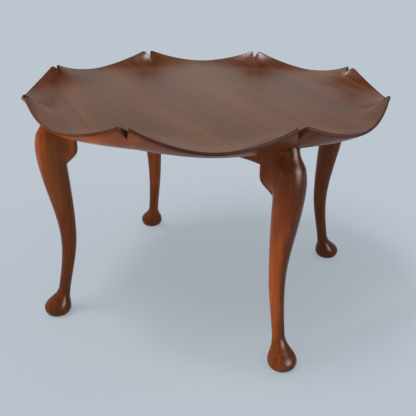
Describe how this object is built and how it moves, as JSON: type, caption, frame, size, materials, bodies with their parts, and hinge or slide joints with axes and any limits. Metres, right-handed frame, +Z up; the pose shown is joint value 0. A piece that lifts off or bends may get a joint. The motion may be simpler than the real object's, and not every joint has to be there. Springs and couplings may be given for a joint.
{
  "type": "coffee table",
  "caption": "Round dished coffee table with a scalloped rim notched at each peak, on cabriole legs with club feet joined by arched rails.",
  "frame": {"origin": "on the floor, under the middle of the round top", "axes": "+Z is up; the front is -Y, the side nearest the picture's camera; +X is to the right seen from the front"},
  "size_m": [0.8094, 0.8094, 0.5291],
  "materials": {
    "mahogany": "semi-gloss polish",
    "secondary_wood": "bare planed beech",
    "screw_steel": "plain steel"
  },
  "bodies": {
    "root": {"top_board_left": "mahogany", "top_board_middle": "mahogany", "top_board_right": "mahogany", "top_tongue_left": "secondary_wood", "top_tongue_right": "secondary_wood", "leg_front_left": "mahogany", "leg_front_right": "mahogany", "leg_back_left": "mahogany", "leg_back_right": "mahogany", "rail_front": "mahogany", "rail_right": "mahogany", "rail_back": "mahogany", "rail_left": "mahogany", "corner_block_front_left": "secondary_wood", "corner_block_front_right": "secondary_wood", "corner_block_back_left": "secondary_wood", "corner_block_back_right": "secondary_wood", "corner_screw_front_left_a": "screw_steel", "corner_screw_front_left_b": "screw_steel", "corner_screw_front_right_a": "screw_steel", "corner_screw_front_right_b": "screw_steel", "corner_screw_back_left_a": "screw_steel", "corner_screw_back_left_b": "screw_steel", "corner_screw_back_right_a": "screw_steel", "corner_screw_back_right_b": "screw_steel", "top_button_front_a": "secondary_wood", "top_button_front_b": "secondary_wood", "top_button_right_a": "secondary_wood", "top_button_right_b": "secondary_wood", "top_button_back_a": "secondary_wood", "top_button_back_b": "secondary_wood", "top_button_left_a": "secondary_wood", "top_button_left_b": "secondary_wood", "button_screw_front_a": "screw_steel", "button_screw_front_b": "screw_steel", "button_screw_right_a": "screw_steel", "button_screw_right_b": "screw_steel", "button_screw_back_a": "screw_steel", "button_screw_back_b": "screw_steel", "button_screw_left_a": "screw_steel", "button_screw_left_b": "screw_steel"}
  },
  "joints": []
}
